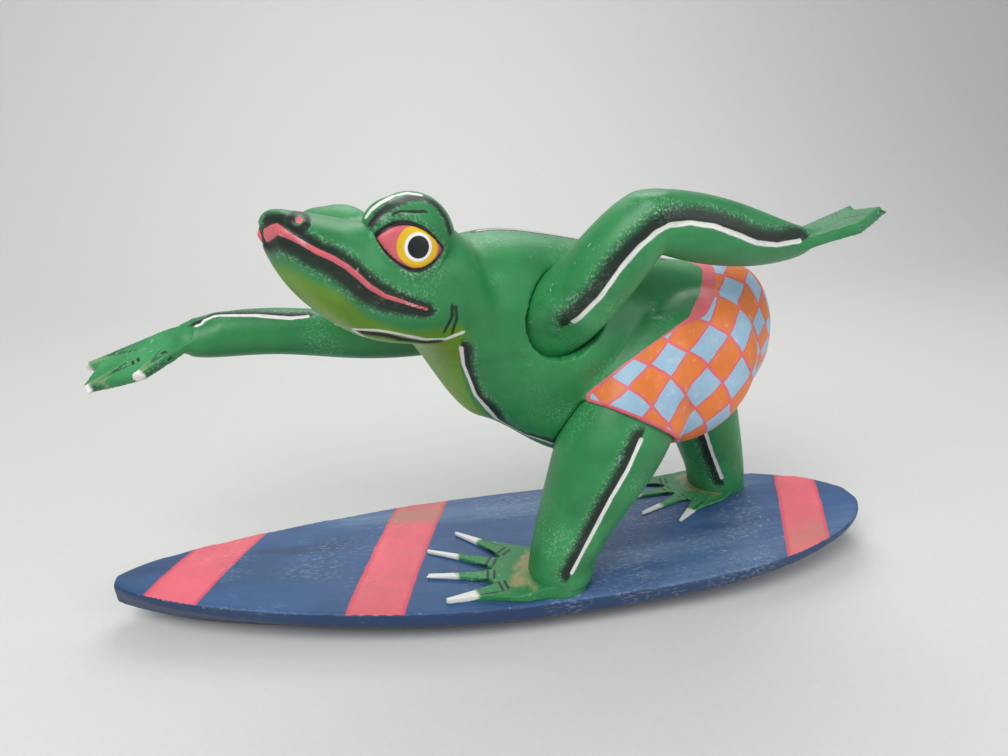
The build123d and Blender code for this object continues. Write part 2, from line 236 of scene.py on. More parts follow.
class Surface:
    """A piece's vertices and normals in millimetres, with what is painted or carved on them."""

    def __init__(self, piece):
        self.piece = piece
        self.refresh()

    def refresh(self):
        mesh = self.piece.data
        count = len(mesh.vertices)
        spots, normals = np.zeros(count * 3, np.float32), np.zeros(count * 3, np.float32)
        mesh.vertices.foreach_get("co", spots)
        mesh.vertex_normals.foreach_get("vector", normals)
        self.spots = spots.reshape(-1, 3).astype(float) / MM
        self.normals = normals.reshape(-1, 3).astype(float)
        corners, starts = np.zeros(len(mesh.loops), np.int32), np.zeros(len(mesh.polygons), np.int32)
        mesh.loops.foreach_get("vertex_index", corners)
        mesh.polygons.foreach_get("loop_start", starts)
        faces = [face.tolist() for face in np.split(corners, starts[1:])]
        self.tree = BVHTree.FromPolygons(self.spots.tolist(), faces)

    def hit(self, point):
        """Where the sight line through a point of the frame first meets the piece."""
        found = self.tree.ray_cast(Vector(VIEW_PLACE), Vector(sight(point)))
        if found[0] is None:
            return None
        return np.array(found[0])

    def trace(self, points, share=4):
        """A seen row of points laid on the piece, filled in between."""
        fine = []
        for a, b in zip(points, points[1:]):
            (x, y), (to_x, to_y) = a, b
            fine += [(x + (to_x - x) * k / share, y + (to_y - y) * k / share) for k in range(share)]
        spots = [self.hit(p) for p in fine + [points[-1]]]
        return np.array([s for s in spots if s is not None])

    def snap(self, spots):
        """Nearest places on the piece."""
        return np.array([np.array(self.tree.find_nearest(Vector(s))[0]) for s in spots])

    def mirror_head(self, spots):
        """The same stroke on the other side of the head."""
        away = (spots - NECK) @ HEAD_LEFT
        return self.snap(spots - 2 * away[:, None] * HEAD_LEFT)

    def mirror_body(self, spots):
        """The same stroke on the other side of the body."""
        other = spots.copy()
        other[:, 1] = 2 * (BODY_LEAN * spots[:, 0] + BODY_MIDDLE) - spots[:, 1]
        return self.snap(other)

    def away(self, line):
        """Each vertex's distance from a stroke, its side, positive to the left, and its share along."""
        best = np.full(len(self.spots), 1e9)
        side, reached = np.zeros(len(self.spots)), np.zeros(len(self.spots))
        for k, (a, b) in enumerate(zip(line, line[1:])):
            along = b - a
            length = max(along @ along, 1e-9)
            share = np.clip(((self.spots - a) @ along) / length, 0, 1)
            off = self.spots - (a + share[:, None] * along)
            far = np.einsum("ij,ij->i", off, off)
            nearer = far < best
            best[nearer] = far[nearer]
            turn = np.einsum("ij,ij->i", np.cross(along, off[nearer]), self.normals[nearer])
            side[nearer] = np.sign(turn)
            reached[nearer] = (k + share[nearer]) / (len(line) - 1)
        return np.sqrt(best), side, reached

    def nearest(self, lines):
        """Distance from the nearest of several strokes."""
        return np.minimum.reduce([self.away(line)[0] for line in lines])

    def round_spot(self, spot, core, reach):
        """One at a spot, falling to nought between two distances from it."""
        return 1 - fade(np.linalg.norm(self.spots - spot, axis=1), core, reach)

    def move(self, spots):
        """Puts every vertex at a new place in millimetres."""
        self.piece.data.vertices.foreach_set("co", (spots * MM).astype(np.float32).ravel())
        self.piece.data.update()
        self.refresh()

    def carve(self, depth):
        """Moves every vertex along its normal by a depth in millimetres."""
        self.move(self.spots + self.normals * depth[:, None])

    def keep(self, name, values):
        """Stores one number at every vertex for the paint to read."""
        store = self.piece.data.attributes.new(name, "FLOAT", "POINT")
        store.data.foreach_set("value", np.asarray(values, np.float32))


def fade(values, low, high):
    """Smooth step from nought at low to one at high."""
    share = np.clip((values - low) / (high - low), 0, 1)
    return share * share * (3 - 2 * share)


def ridge(far, half):
    """One on a line, falling to nought at its half width."""
    return 1 - fade(far, 0.0, half)


def shadow(surface, line, reach, side=0, core=0.2, taper=0.0):
    """Airbrushed black, full in its core, that fades away from a stroke, on one side of it or both."""
    far, hand, share = surface.away(line)
    reach = reach * (1 - taper * fade(share, 0.65, 1.0))
    cover = 1 - fade(far, core * reach, reach)
    if side:
        cover *= np.where(hand * side > 0, 1.0, 1 - fade(far, 0.4, 1.2))
    return cover


# Webbed toes and fingers

def fan_tree():
    """Tree for a fan of tapering toes or fingers, flat side down, spread about the first axis."""
    tree = bpy.data.node_groups.new("toe fan", "GeometryNodeTree")
    face = tree.interface
    face.new_socket("Toes", in_out="INPUT", socket_type="NodeSocketInt")
    for name in ("Reach", "Half Spread", "Root Width", "Tip Width", "Flatness", "Longest", "Falloff",
                 "Taper"):
        face.new_socket(name, in_out="INPUT", socket_type="NodeSocketFloat")
    face.new_socket("Paint", in_out="INPUT", socket_type="NodeSocketMaterial")
    face.new_socket("Geometry", in_out="OUTPUT", socket_type="NodeSocketGeometry")
    inside = tree.nodes.new("NodeGroupInput")

    def node(kind, settings=(), sockets=(), out=0):
        made = tree.nodes.new(kind)
        for key, value in dict(settings).items():
            setattr(made, key, value)
        for key, value in dict(sockets).items():
            if isinstance(value, bpy.types.NodeSocket):
                tree.links.new(value, made.inputs[key])
            else:
                made.inputs[key].default_value = value
        return made.outputs[out]

    def maths(operation, *values):
        return node("ShaderNodeMath", {"operation": operation}, dict(enumerate(values)))

    given = inside.outputs
    index = node("GeometryNodeInputIndex")
    last = maths("SUBTRACT", given["Toes"], 1.0)
    place = maths("SUBTRACT", maths("MULTIPLY", maths("DIVIDE", index, last), 2.0), 1.0)
    angle = maths("MULTIPLY", place, given["Half Spread"])
    step = maths("SUBTRACT", index, given["Longest"])
    short = maths("MULTIPLY", maths("POWER", step, 2.0), given["Falloff"])
    stretch = maths("SUBTRACT", 1.0, short)

    end = node("ShaderNodeCombineXYZ", sockets={0: given["Reach"]})
    core = node("GeometryNodeCurvePrimitiveLine", sockets={"Start": (0.0, 0.0, 0.0), "End": end})
    core = node("GeometryNodeResampleCurve", sockets={"Curve": core, "Count": 20})
    along = node("GeometryNodeSplineParameter")
    taper = maths("POWER", along, given["Taper"])
    width = maths("ADD", maths("MULTIPLY", given["Root Width"], maths("SUBTRACT", 1.0, taper)),
                  maths("MULTIPLY", given["Tip Width"], taper))
    ring = node("GeometryNodeCurvePrimitiveCircle", {"mode": "RADIUS"}, {"Resolution": 12, "Radius": 1.0})
    toe = node("GeometryNodeCurveToMesh", sockets={
        "Curve": core, "Profile Curve": ring, "Scale": maths("MULTIPLY", width, 0.5), "Fill Caps": True})
    flat = node("ShaderNodeCombineXYZ", sockets={0: 1.0, 1: 1.0, 2: given["Flatness"]})
    toe = node("GeometryNodeTransform", sockets={"Geometry": toe, "Scale": flat})

    roots = node("GeometryNodeMeshLine", sockets={"Count": given["Toes"], "Offset": (0.0, 0.0, 0.0)})
    turned = node("ShaderNodeCombineXYZ", sockets={2: angle})
    sized = node("ShaderNodeCombineXYZ", sockets={0: stretch, 1: 1.0, 2: 1.0})
    spin = node("FunctionNodeEulerToRotation", sockets={0: turned})
    toes = node("GeometryNodeInstanceOnPoints",
                sockets={"Points": roots, "Instance": toe, "Rotation": spin, "Scale": sized})
    toes = node("GeometryNodeRealizeInstances", sockets={"Geometry": toes})
    toes = node("GeometryNodeSetMaterial", sockets={"Geometry": toes, "Material": given["Paint"]})
    tree.links.new(toes, tree.nodes.new("NodeGroupOutput").inputs[0])
    return tree


def fan(tree, paint, sizes, place):
    """Mesh of one fan, put in place by a matrix in millimetres."""
    piece = link("fan", bpy.data.meshes.new("fan"))
    grow = piece.modifiers.new("grow", "NODES")
    grow.node_group = tree
    sockets = {s.name: s.identifier for s in tree.interface.items_tree if s.in_out == "INPUT"}
    for name, value in (("Toes", sizes["toes"]), ("Reach", sizes["reach"] * MM),
                        ("Half Spread", math.radians(sizes["spread"])), ("Root Width", sizes["root"] * MM),
                        ("Tip Width", sizes["tip"] * MM), ("Flatness", sizes["thick"] / sizes["root"]),
                        ("Longest", sizes["longest"]), ("Falloff", sizes["falloff"]),
                        ("Taper", sizes["taper"]), ("Paint", paint)):
        grow[sockets[name]] = value
    settle(piece)
    mesh = piece.data
    bpy.data.objects.remove(piece)
    move = place.copy()
    move.translation *= MM
    mesh.transform(move)
    return mesh


def toe_lines(sizes, place):
    """Root and tip of each toe of a fan, in millimetres."""
    lines = []
    for k in range(sizes["toes"]):
        angle = math.radians(sizes["spread"]) * (2 * k / (sizes["toes"] - 1) - 1)
        reach = sizes["reach"] * (1 - sizes["falloff"] * (k - sizes["longest"]) ** 2)
        tip = place @ Vector((math.cos(angle) * reach, math.sin(angle) * reach, 0))
        lines.append((np.array(place.translation), np.array(tip)))
    return lines


def foot_place(name):
    """Frame of a foot: ahead along the middle toe."""
    spot, heading = FOOT_PLACES[name]
    return Matrix.Translation(spot) @ Matrix.Rotation(math.radians(heading), 4, "Z")


def hand_place(name):
    """Frame of a hand: ahead from wrist to tip, rolled about it."""
    wrist, tip, roll = HAND_PLACES[name]
    ahead = (Vector(tip) - Vector(wrist)).normalized()
    across = Vector((0, math.cos(math.radians(roll)), math.sin(math.radians(roll))))
    up = ahead.cross(across).normalized()
    across = up.cross(ahead)
    turn = Matrix((ahead, across, up)).transposed().to_4x4()
    return Matrix.Translation(wrist) @ turn @ Matrix.Rotation(math.radians(HAND_TURN), 4, "Z")


# Paint

class Pigment:
    """One value or colour of a material; operators on it add the nodes."""

    def __init__(self, tree, socket=None):
        self.tree, self.socket = tree, socket

    def node(self, kind, settings=(), sockets=(), out=0):
        made = self.tree.nodes.new(kind)
        for key, value in dict(settings).items():
            setattr(made, key, value)
        for key, value in dict(sockets).items():
            if isinstance(value, Pigment):
                self.tree.links.new(value.socket, made.inputs[key])
            else:
                made.inputs[key].default_value = value
        return Pigment(self.tree, made.outputs[out])

    def maths(self, operation, *values):
        return self.node("ShaderNodeMath", {"operation": operation}, dict(enumerate(values)))

    def __add__(self, other):
        return self.maths("ADD", self, other)

    __radd__ = __add__

    def __sub__(self, other):
        return self.maths("SUBTRACT", self, other)

    def __rsub__(self, other):
        return self.maths("SUBTRACT", other, self)

    def __mul__(self, other):
        return self.maths("MULTIPLY", self, other)

    __rmul__ = __mul__

    def least(self, other):
        return self.maths("MINIMUM", self, other)

    def size(self):
        return self.maths("ABSOLUTE", self)

    def rise(self, low, high):
        """Smooth step from nought at low to one at high."""
        return self.node("ShaderNodeMapRange", {"interpolation_type": "SMOOTHSTEP"},
                         {"Value": self, "From Min": low, "From Max": high})

    def fall(self, low, high):
        return 1 - self.rise(low, high)

    def over(self, cover, colour):
        """This colour with another painted over it where the cover is one."""
        return self.node("ShaderNodeMix", {"data_type": "RGBA"}, {0: cover, 6: self, 7: colour}, out=2)


def srgb(red, green, blue):
    """Colour as seen, in steps of 255, as the shader counts it."""
    tone = [c / 255 for c in (red, green, blue)]
    return tuple(c / 12.92 if c <= 0.04045 else ((c + 0.055) / 1.055) ** 2.4 for c in tone) + (1.0,)


GREEN, GREEN_LIT, GREEN_DARK = srgb(42, 134, 74), srgb(66, 156, 96), srgb(20, 92, 48)
BELLY, INK, CHALK, PINK = srgb(104, 154, 18), srgb(7, 9, 9), srgb(226, 226, 220), srgb(226, 104, 114)
YELLOW, WHITE, ORANGE, SKY = srgb(240, 196, 20), srgb(236, 238, 238), srgb(232, 124, 48), srgb(156, 192, 216)
SEA, SEA_DARK, SEA_PALE = srgb(52, 88, 134), srgb(26, 50, 86), srgb(116, 142, 174)
BAND, BAND_DARK, DUST, GLUE = srgb(232, 104, 118), srgb(206, 60, 80), srgb(140, 150, 112), srgb(164, 144, 100)
PINK_DARK, GREEN_PALE = srgb(150, 62, 66), srgb(150, 194, 164)


class Coat:
    """A painted-wood material: its node tree, place on the piece and brush marks."""

    def __init__(self, name):
        self.material = bpy.data.materials.new(name)
        self.material.use_nodes = True
        self.tree = self.material.node_tree
        self.base = Pigment(self.tree)
        self.bsdf = self.tree.nodes["Principled BSDF"]
        self.spot = self.base.node("ShaderNodeTexCoord", out="Object")

    def value(self, name):
        """A number stored at the piece's vertices."""
        return self.base.node("ShaderNodeAttribute", {"attribute_name": name}, out="Fac")

    def noise(self, scale, detail=3.0, stretch=(1, 1, 1), rough=0.55):
        spot = self.base.node("ShaderNodeMapping", sockets={"Vector": self.spot, "Scale": stretch})
        return self.base.node("ShaderNodeTexNoise",
                              sockets={"Vector": spot, "Scale": scale, "Detail": detail, "Roughness": rough})

    def flat(self, colour):
        """Start of a colour: the same paint thinned and thickened by the brush."""
        marks = self.noise(45.0, 4.0)
        dim = tuple(c * 0.82 for c in colour[:3]) + (1.0,)
        return self.mix(marks.rise(0.35, 0.65), dim, colour)

    def mix(self, cover, under, over):
        """One colour painted over another where the cover is one."""
        return self.base.node("ShaderNodeMix", {"data_type": "RGBA"}, {0: cover, 6: under, 7: over}, out=2)

    def finish(self, colour, rough, height, depth):
        """Colour, roughness and brush relief, the relief's depth in metres, under a thin lacquer."""
        bump = self.base.node("ShaderNodeBump",
                              sockets={"Height": height, "Strength": 0.55, "Distance": depth})
        for key, value in (("Base Color", colour), ("Roughness", rough), ("Normal", bump)):
            self.tree.links.new(value.socket, self.bsdf.inputs[key])
        self.bsdf.inputs["IOR"].default_value = 1.45
        self.bsdf.inputs["Coat Roughness"].default_value = 0.3
        self.bsdf.inputs["Coat Weight"].default_value = 0.12
        return self.material


def frog_skin(name, body=False, webbed=False):
    """Green brushed paint, black airbrush, white lines and rubbed edges; the body adds face and shorts."""
    coat = Coat(name)
    broad, fine, grit = coat.noise(28.0, 4.0), coat.noise(160.0, 5.0), coat.noise(620.0, 3.0)
    streak = coat.noise(60.0, 5.0, stretch=(0.35, 1.0, 1.0))
    colour = coat.flat(GREEN).over(broad.rise(0.50, 0.75) * 0.75, GREEN_LIT)
    colour = colour.over(streak.rise(0.52, 0.72) * 0.5, GREEN_DARK)
    if body:
        belly = (coat.value("belly") + (fine - 0.5) * 0.25).rise(0.15, 0.95)
        colour = colour.over(belly, coat.flat(BELLY))
    black = coat.value("shade")
    shade = (black + (fine - 0.5) * 0.35 * black.rise(0.02, 0.4)).rise(0.1, 0.95)
    colour = colour.over(shade * 0.95, INK)
    worn = coat.noise(1200.0, 2.0).rise(0.50, 0.64)
    patches = coat.noise(42.0, 3.0).rise(0.50, 0.70) * 0.3
    rim = black.rise(0.02, 0.3) * black.fall(0.4, 0.9) * 0.35
    colour = colour.over(worn * (patches + rim), GREEN_PALE)
    if body:
        lip = coat.value("lip") + (fine - 0.5) * 0.3
        colour = colour.over(lip.fall(0.85, 1.15), coat.flat(PINK).over(fine.rise(0.52, 0.7) * 0.35, CHALK))
    flecks = (grit.rise(0.62, 0.70) * (broad.rise(0.60, 0.72) * 0.5 + coat.value("rub"))).least(1.0)
    colour = colour.over(flecks * 0.65, CHALK)
    if webbed:
        web = coat.value("web") + (broad - 0.5) * 0.5
        colour = colour.over(web.rise(0.3, 0.9) * 0.6, DUST)
        glue = coat.value("glue") + (coat.noise(150.0, 5.0) - 0.5) * 1.8
        colour = colour.over(glue.rise(0.5, 0.9) * 0.75, GLUE)
        nail = coat.value("nail") + (fine - 0.5) * 0.1
        colour = colour.over(nail.rise(0.74, 0.78), CHALK)
    line = coat.value("white") + (fine - 0.5) * 0.8
    colour = colour.over(line.fall(0.55, 1.0) * (0.76 + 0.24 * fine.rise(0.3, 0.5)), CHALK)
    ink = coat.value("ink") + (fine - 0.5) * 0.3
    colour = colour.over(ink.fall(0.3, 0.75) * 0.92, INK)
    if body:
        colour = shorts(coat, colour, fine)
        colour = eye(coat, colour, fine)
    rough = 0.36 + fine * 0.2 + flecks * 0.25
    height = fine * 0.6 + grit * 0.25 + streak * 0.5
    return coat.finish(colour, rough, height, 0.0006)


def shorts(coat, colour, fine):
    """Orange and pale-blue checks with pink borders and a pink waistband."""
    inside = coat.value("shorts") + (fine - 0.5) * 0.7
    wobble = coat.noise(70.0, 2.0) - 0.5
    wobble_two = coat.noise(74.0, 2.0, stretch=(1.0, 1.2, 0.9)) - 0.5
    p, q = coat.value("check_p") + wobble * 0.35, coat.value("check_q") + wobble_two * 0.35
    cell = p.maths("FLOOR", p) + q.maths("FLOOR", q)
    odd = cell.maths("FLOORED_MODULO", cell, 2.0).rise(0.4, 0.6)
    edge_p = (p - p.maths("ROUND", p)).size()
    edge_q = (q - q.maths("ROUND", q)).size()
    edge = edge_p.least(edge_q)
    cloth = coat.flat(ORANGE).over(odd, coat.flat(SKY))
    cloth = cloth.over(coat.noise(240.0, 4.0).rise(0.55, 0.75) * 0.25, CHALK)
    cloth = cloth.over(edge.fall(0.03, 0.06), coat.flat(PINK))
    cloth = cloth.over((coat.value("band") + (fine - 0.5) * 0.7).fall(-0.2, 0.2), coat.flat(PINK))
    return colour.over(inside.rise(-0.3, 0.3), cloth)


def eye(coat, colour, fine):
    """Almond eye: black rim, pink white, yellow iris, pale ring and black pupil."""
    across, up, lid = coat.value("eye_across"), coat.value("eye_up"), coat.value("eye_lid")
    round_far = across * across + up * up
    round_far = round_far.maths("SQRT", round_far) + (fine - 0.5) * 0.25
    ball = coat.flat(PINK).over(across.rise(5.0, 8.5) * 0.6, PINK_DARK)
    ball = ball.over(round_far.fall(IRIS_RADIUS - 0.2, IRIS_RADIUS + 0.2), coat.flat(YELLOW))
    ball = ball.over(round_far.fall(RING_RADIUS - 0.2, RING_RADIUS + 0.2), WHITE)
    ball = ball.over(round_far.fall(PUPIL_RADIUS - 0.15, PUPIL_RADIUS + 0.15), INK)
    return colour.over(lid.rise(-0.2, 0.2), ball).over(lid.size().fall(0.4, 0.9), INK)


def board_paint():
    """Weathered blue with three slanting pink bands, painted shade darkening the rails, rubbed along the
    rails.
    """
    coat = Coat("board paint")
    x, y = (coat.base.node("ShaderNodeSeparateXYZ", sockets={0: coat.spot}, out=axis) * (1 / MM)
            for axis in "XY")
    streak = coat.noise(30.0, 6.0, stretch=(0.16, 1.0, 1.0), rough=0.62)
    broad, fine, grit = coat.noise(16.0, 4.0), coat.noise(140.0, 5.0), coat.noise(560.0, 3.0)
    colour = coat.flat(SEA).over(streak.rise(0.48, 0.72) * 0.65, SEA_PALE)
    colour = colour.over(streak.fall(0.30, 0.46) * 0.7, SEA_DARK)
    # Painted shade: darker blue on the rails and underside, the faces that do not look up; the pink bands
    # stop short of it
    rail_shade = coat.value("rail_shade")
    colour = colour.over((rail_shade + (fine - 0.5) * 0.3).rise(0.3, 0.8) * 0.85, SEA_DARK)
    for near, slant, half in BANDS:
        middle = near + (y - BAND_FRONT) * slant
        inside = half - (x - middle).size() + (fine - 0.5) * 1.4 + (broad - 0.5) * 2.2
        band = coat.flat(BAND).over(streak.rise(0.48, 0.70) * 0.55, DUST)
        band = band.over(inside.fall(0.6, 2.2) * 0.6, BAND_DARK)
        colour = colour.over(inside.rise(-0.3, 0.4) * (1 - rail_shade.rise(0.35, 0.6)), band)
    worn = coat.noise(1100.0, 2.0, stretch=(0.4, 1.0, 1.0)).rise(0.50, 0.66)
    colour = colour.over(worn * coat.noise(34.0, 3.0).rise(0.48, 0.66) * 0.14, CHALK)
    flecks = grit.rise(0.62, 0.72) * (broad.rise(0.58, 0.72) * 0.5 + coat.value("rub")).least(1.0)
    colour = colour.over(flecks * 0.7, CHALK)
    rough = 0.42 + fine * 0.2 + flecks * 0.2
    return coat.finish(colour, rough, streak * 0.8 + fine * 0.5 + grit * 0.2, 0.0006)


def peg_wood():
    """Bare pale peg wood with grain along it."""
    coat = Coat("peg wood")
    grain = coat.noise(420.0, 5.0, stretch=(1.0, 1.0, 0.15))
    colour = coat.flat(srgb(196, 158, 108)).over(grain.rise(0.45, 0.7) * 0.6, srgb(150, 108, 62))
    return coat.finish(colour, 0.6 + grain * 0.2, grain, 0.0003)


def flesh(surface, white=(), ink=(), shade=None, rub=None):
    """Stores the marks that every green piece has."""
    count = len(surface.spots)
    for name, lines in (("white", white), ("ink", ink)):
        surface.keep(name, np.minimum(surface.nearest(lines), FAR) if lines else np.full(count, FAR))
    for name, cover in (("shade", shade), ("rub", rub)):
        surface.keep(name, np.zeros(count) if cover is None else np.clip(cover, 0, 1))


def dress(piece, paint, *nodes):
    """Gives a finished piece its paint, smooth faces and place in the frame."""
    piece.data.materials.append(paint)
    piece.data.shade_smooth()
    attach(piece, "root")
    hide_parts(*nodes)


def body_strokes(skin):
    """Carved and painted strokes of the head and chest, each on both sides."""
    strokes = {}
    for name, line in (("lip", LIP), ("crease", JAW_CREASE), ("hollow", JAW_HOLLOW), ("under", JAW_UNDER),
                       ("wrinkle", BROW_WRINKLE), ("gill", GILLS[0]), ("other gill", GILLS[1])):
        stroke = skin.trace(line)
        strokes[name] = [stroke, skin.mirror_head(stroke)]
    chest = skin.trace(CHEST_LINE)
    strokes["chest"] = [chest, skin.mirror_body(chest)]
    return strokes


def eye_marks(skin):
    """Distances along and up each eye, and inside the edge of its almond."""
    count = len(skin.spots)
    across, up, lid = np.full(count, NO_EYE), np.full(count, NO_EYE), np.full(count, NO_LID)
    left = skin.hit(EYE_MIDDLE)
    for spot, hand in ((left, 1), (skin.mirror_head(left[None])[0], -1)):
        normal = np.array(skin.tree.find_nearest(Vector(spot))[1])
        to_back = -FACING - normal * (-FACING @ normal)
        to_back /= np.linalg.norm(to_back)
        away = skin.spots - spot
        mine = np.linalg.norm(away, axis=1) < EYE_REACH
        across[mine] = away[mine] @ to_back
        up[mine] = away[mine] @ np.cross(normal, to_back) * hand
        curve = 1 - ((across[mine] + EYE_SHIFT) / EYE_HALF) ** 2
        slant = up[mine] + EYE_SLANT * across[mine]
        lid[mine] = np.maximum(np.minimum(curve * EYE_ABOVE - slant, curve * EYE_BELOW + slant), NO_LID)
    return across, up, lid


def nostril_far(skin):
    """Distance from the nearer nostril, across the line on which it is seen."""
    left, way = skin.hit(NOSTRIL), sight(NOSTRIL)
    other_way = way - 2 * (way @ HEAD_LEFT) * HEAD_LEFT
    nearest = np.full(len(skin.spots), FAR)
    for spot, line in ((left, way), (skin.mirror_head(left[None])[0], other_way)):
        off = skin.spots - spot
        far = np.linalg.norm(off - np.outer(off @ line, line), axis=1)
        nearest = np.minimum(nearest, np.where(np.linalg.norm(off, axis=1) < NOSE_REACH, far, FAR))
    return nearest


def lip_marks(skin, lines):
    """Distance from the lip and the lip's half width beside each vertex."""
    lip_far, lip_share = np.full(len(skin.spots), np.inf), np.zeros(len(skin.spots))
    for line in lines:
        far, _, share = skin.away(line)
        lip_share = np.where(far < lip_far, share, lip_share)
        lip_far = np.minimum(far, lip_far)
    half = LIP_HALF - LIP_THINNING * fade(lip_share, 0.0, 0.25) - LIP_CORNER * fade(lip_share, 0.6, 1.0)
    return lip_far, half


def swell_shoulder(skin):
    """Brings the body out to the raised arm, so that the arm runs into it."""
    arm, shoulder = Surface(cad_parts["left_arm"]), skin.hit(SHOULDER)
    near = skin.round_spot(shoulder, SHOULDER_CORE, SHOULDER_REACH)
    close = np.flatnonzero(near)
    arm_far = np.array([arm.tree.find_nearest(Vector(spot))[3] for spot in skin.spots[close]])
    fillet = ridge(arm_far, ARM_FILLET) * fade(-skin.normals[close, 1], 0.0, 0.6)
    spots = skin.spots.copy()
    spots[close, 1] -= SHOULDER_SWELL * fillet * near[close]
    skin.move(spots)


def carve_body(skin, strokes, lid, lip_far, lip_half, nose_far):
    """Cuts eyes, lip, creases and nostrils, fills the brows and eases the flank."""
    depth = BALL_RISE * (fade(lid, 0.0, BALL_EDGE) - ridge(np.abs(lid), LID_GROOVE))
    depth += BALL_RISE * ridge(np.abs(lid + LID_FOLD), LID_FOLD)
    depth += LIP_RISE * ridge(lip_far, LIP_RIDGE)
    depth -= LIP_CUT * ridge(np.abs(lip_far - lip_half - LIP_GAP), LIP_GROOVE)
    for name, half, cut in CREASES:
        depth -= cut * ridge(skin.nearest(strokes[name]), half)
    depth += NOSE_RISE * (1 - fade(nose_far, NOSE_TOP, NOSE_FOOT)) - NOSE_CUT * ridge(nose_far, NOSE_HOLE)
    brow = skin.hit(BROW_FOOT)
    for spot in (brow, skin.mirror_head(brow[None])[0]):
        depth += BROW_RISE * skin.round_spot(spot, BROW_CORE, BROW_REACH)
    swell_shoulder(skin)
    depth -= FLANK_CUT * skin.round_spot(skin.hit(FLANK), FLANK_CORE, FLANK_REACH)
    skin.carve(depth)


def paint_face(skin, strokes, lid, nose_far):
    """Stores the lines and the airbrushed black of the head, chest and back."""
    for name, line in (("crest", BROW_CREST), ("edge", BROW_EDGE), ("smudge", SNOUT_SMUDGE)):
        stroke = skin.trace(line)
        strokes[name] = [stroke, skin.mirror_head(stroke)]
    spine = [Vector((x, BODY_LEAN * x + SPINE_MIDDLE, SPINE_ABOVE))
             for x in np.arange(SPINE_START, SPINE_END, SPINE_STEP)]
    spine = np.array([np.array(skin.tree.ray_cast(spot, Vector((0, 0, -1)))[0]) for spot in spine])
    shade = shadow(skin, spine, SPINE_BRUSH)
    for name, reach, side, core, taper in AIRBRUSH:
        for line, hand in zip(strokes[name], (1, -1)):
            shade = np.maximum(shade, shadow(skin, line, reach, side * hand, core, taper))
    shade = np.maximum(shade, 1 - fade(nose_far, *NOSE_RING_OUTER)) * fade(nose_far, *NOSE_RING_INNER)
    shade = np.maximum(shade, ridge(np.abs(lid + 1.5), 2.0) * 0.4)
    white = strokes["crease"] + strokes["under"] + strokes["chest"] + strokes["crest"] + [spine]
    flesh(skin, white=white, ink=strokes["gill"] + strokes["other gill"] + strokes["wrinkle"], shade=shade)


def paint_belly(skin, chest, lip):
    """Stores where the pale green of throat and belly lies, below the lip and the chest line."""
    x, _, z = skin.spots.T
    order = np.argsort(chest[:, 0])
    chest_high = np.interp(x, chest[order, 0], chest[order, 2], left=CHEST_TOP)
    torso = fade(chest_high - z, 0.0, CHEST_FADE) * (1 - fade(x, *BELLY_END))
    ahead, lip_ahead = (skin.spots - NECK) @ FACING, (lip - NECK) @ FACING
    order = np.argsort(lip_ahead)
    lip_high = np.interp(ahead, lip_ahead[order], lip[order, 2])
    throat = fade(lip_high - z, *THROAT_BELOW) * fade(ahead, *THROAT_AHEAD)
    skin.keep("belly", np.maximum(torso, throat))


def paint_shorts(skin):
    """Stores the distance inside the shorts and inside their band, and the two counts of checks."""
    x, y, z = skin.spots.T
    seen = skin.trace(WAIST_SEEN)
    seen = seen[np.argsort(seen[:, 2])]
    left = np.interp(z, seen[:, 2], seen[:, 0])
    right = np.interp(z, WAIST_HEIGHTS, WAIST_RIGHT)
    inside = x - (left + (right - left) * fade(y, *WAIST_TURN))
    band = inside - BAND_WIDTH - BAND_GAIN * fade(z, *BAND_HEIGHTS)
    for end, way in HEMS:
        off = skin.spots - np.array(end)
        above = np.where(np.linalg.norm(off, axis=1) < HEM_REACH, off @ -np.array(way), FAR)
        inside, band = np.minimum(inside, above), np.minimum(band, above - HEM_WIDTH)
    skin.keep("shorts", np.clip(inside, -FAR, FAR))
    skin.keep("band", np.clip(band, -FAR, FAR))
    long_way = x + np.maximum(0.0, x - RUMP_START) * RUMP_STRETCH
    arc = np.arctan2(z - RUMP_HIGH, np.abs(y - RUMP_MIDDLE)) * RUMP_RADIUS
    for name, (start, along, bend, round_it, twist, change) in CHECKS.items():
        turn = round_it + twist * np.minimum(long_way, TWIST_END)
        turn += change * np.clip(arc, -CHANGE_END, CHANGE_END)
        skin.keep(name, start + along * long_way + bend * long_way ** 2 + turn * arc)


def make_body():
    """Head and body: carved mouth, eyes, brows and creases, and all that is painted on them."""
    piece = blank("frog_head_and_body", ["head_and_body"], BODY_GRAIN, BODY_SANDING)
    skin = Surface(piece)
    strokes = body_strokes(skin)
    chest = strokes["chest"][0]
    across, up, lid = eye_marks(skin)
    nose_far = nostril_far(skin)
    lip_far, lip_half = lip_marks(skin, strokes["lip"])
    carve_body(skin, strokes, lid, lip_far, lip_half, nose_far)

    strokes = {name: [skin.snap(line) for line in lines] for name, lines in strokes.items()}
    paint_face(skin, strokes, lid, nose_far)
    skin.keep("lip", np.minimum(np.minimum(lip_far / lip_half, nose_far / NOSE_PINK), FAR))
    for name, values in (("eye_across", across), ("eye_up", up), ("eye_lid", lid)):
        skin.keep(name, values)
    paint_belly(skin, chest, strokes["lip"][0])
    paint_shorts(skin)
    dress(piece, frog_skin("frog face and shorts paint", body=True), "head_and_body")


def along_fan(spots, fans):
    """Share along the nearest toe or finger, distance from its middle line and the nearest point on that."""
    share, best, middle = np.zeros(len(spots)), np.full(len(spots), np.inf), np.array(spots)
    for start, tip in fans:
        along = tip - start
        part = np.clip(((spots - start) @ along) / (along @ along), 0, 1.05)
        point = start + part[:, None] * along
        far = np.linalg.norm(spots - point, axis=1)
        nearer = far < best
        share[nearer], best[nearer], middle[nearer] = part[nearer], far[nearer], point[nearer]
    return share, best, middle


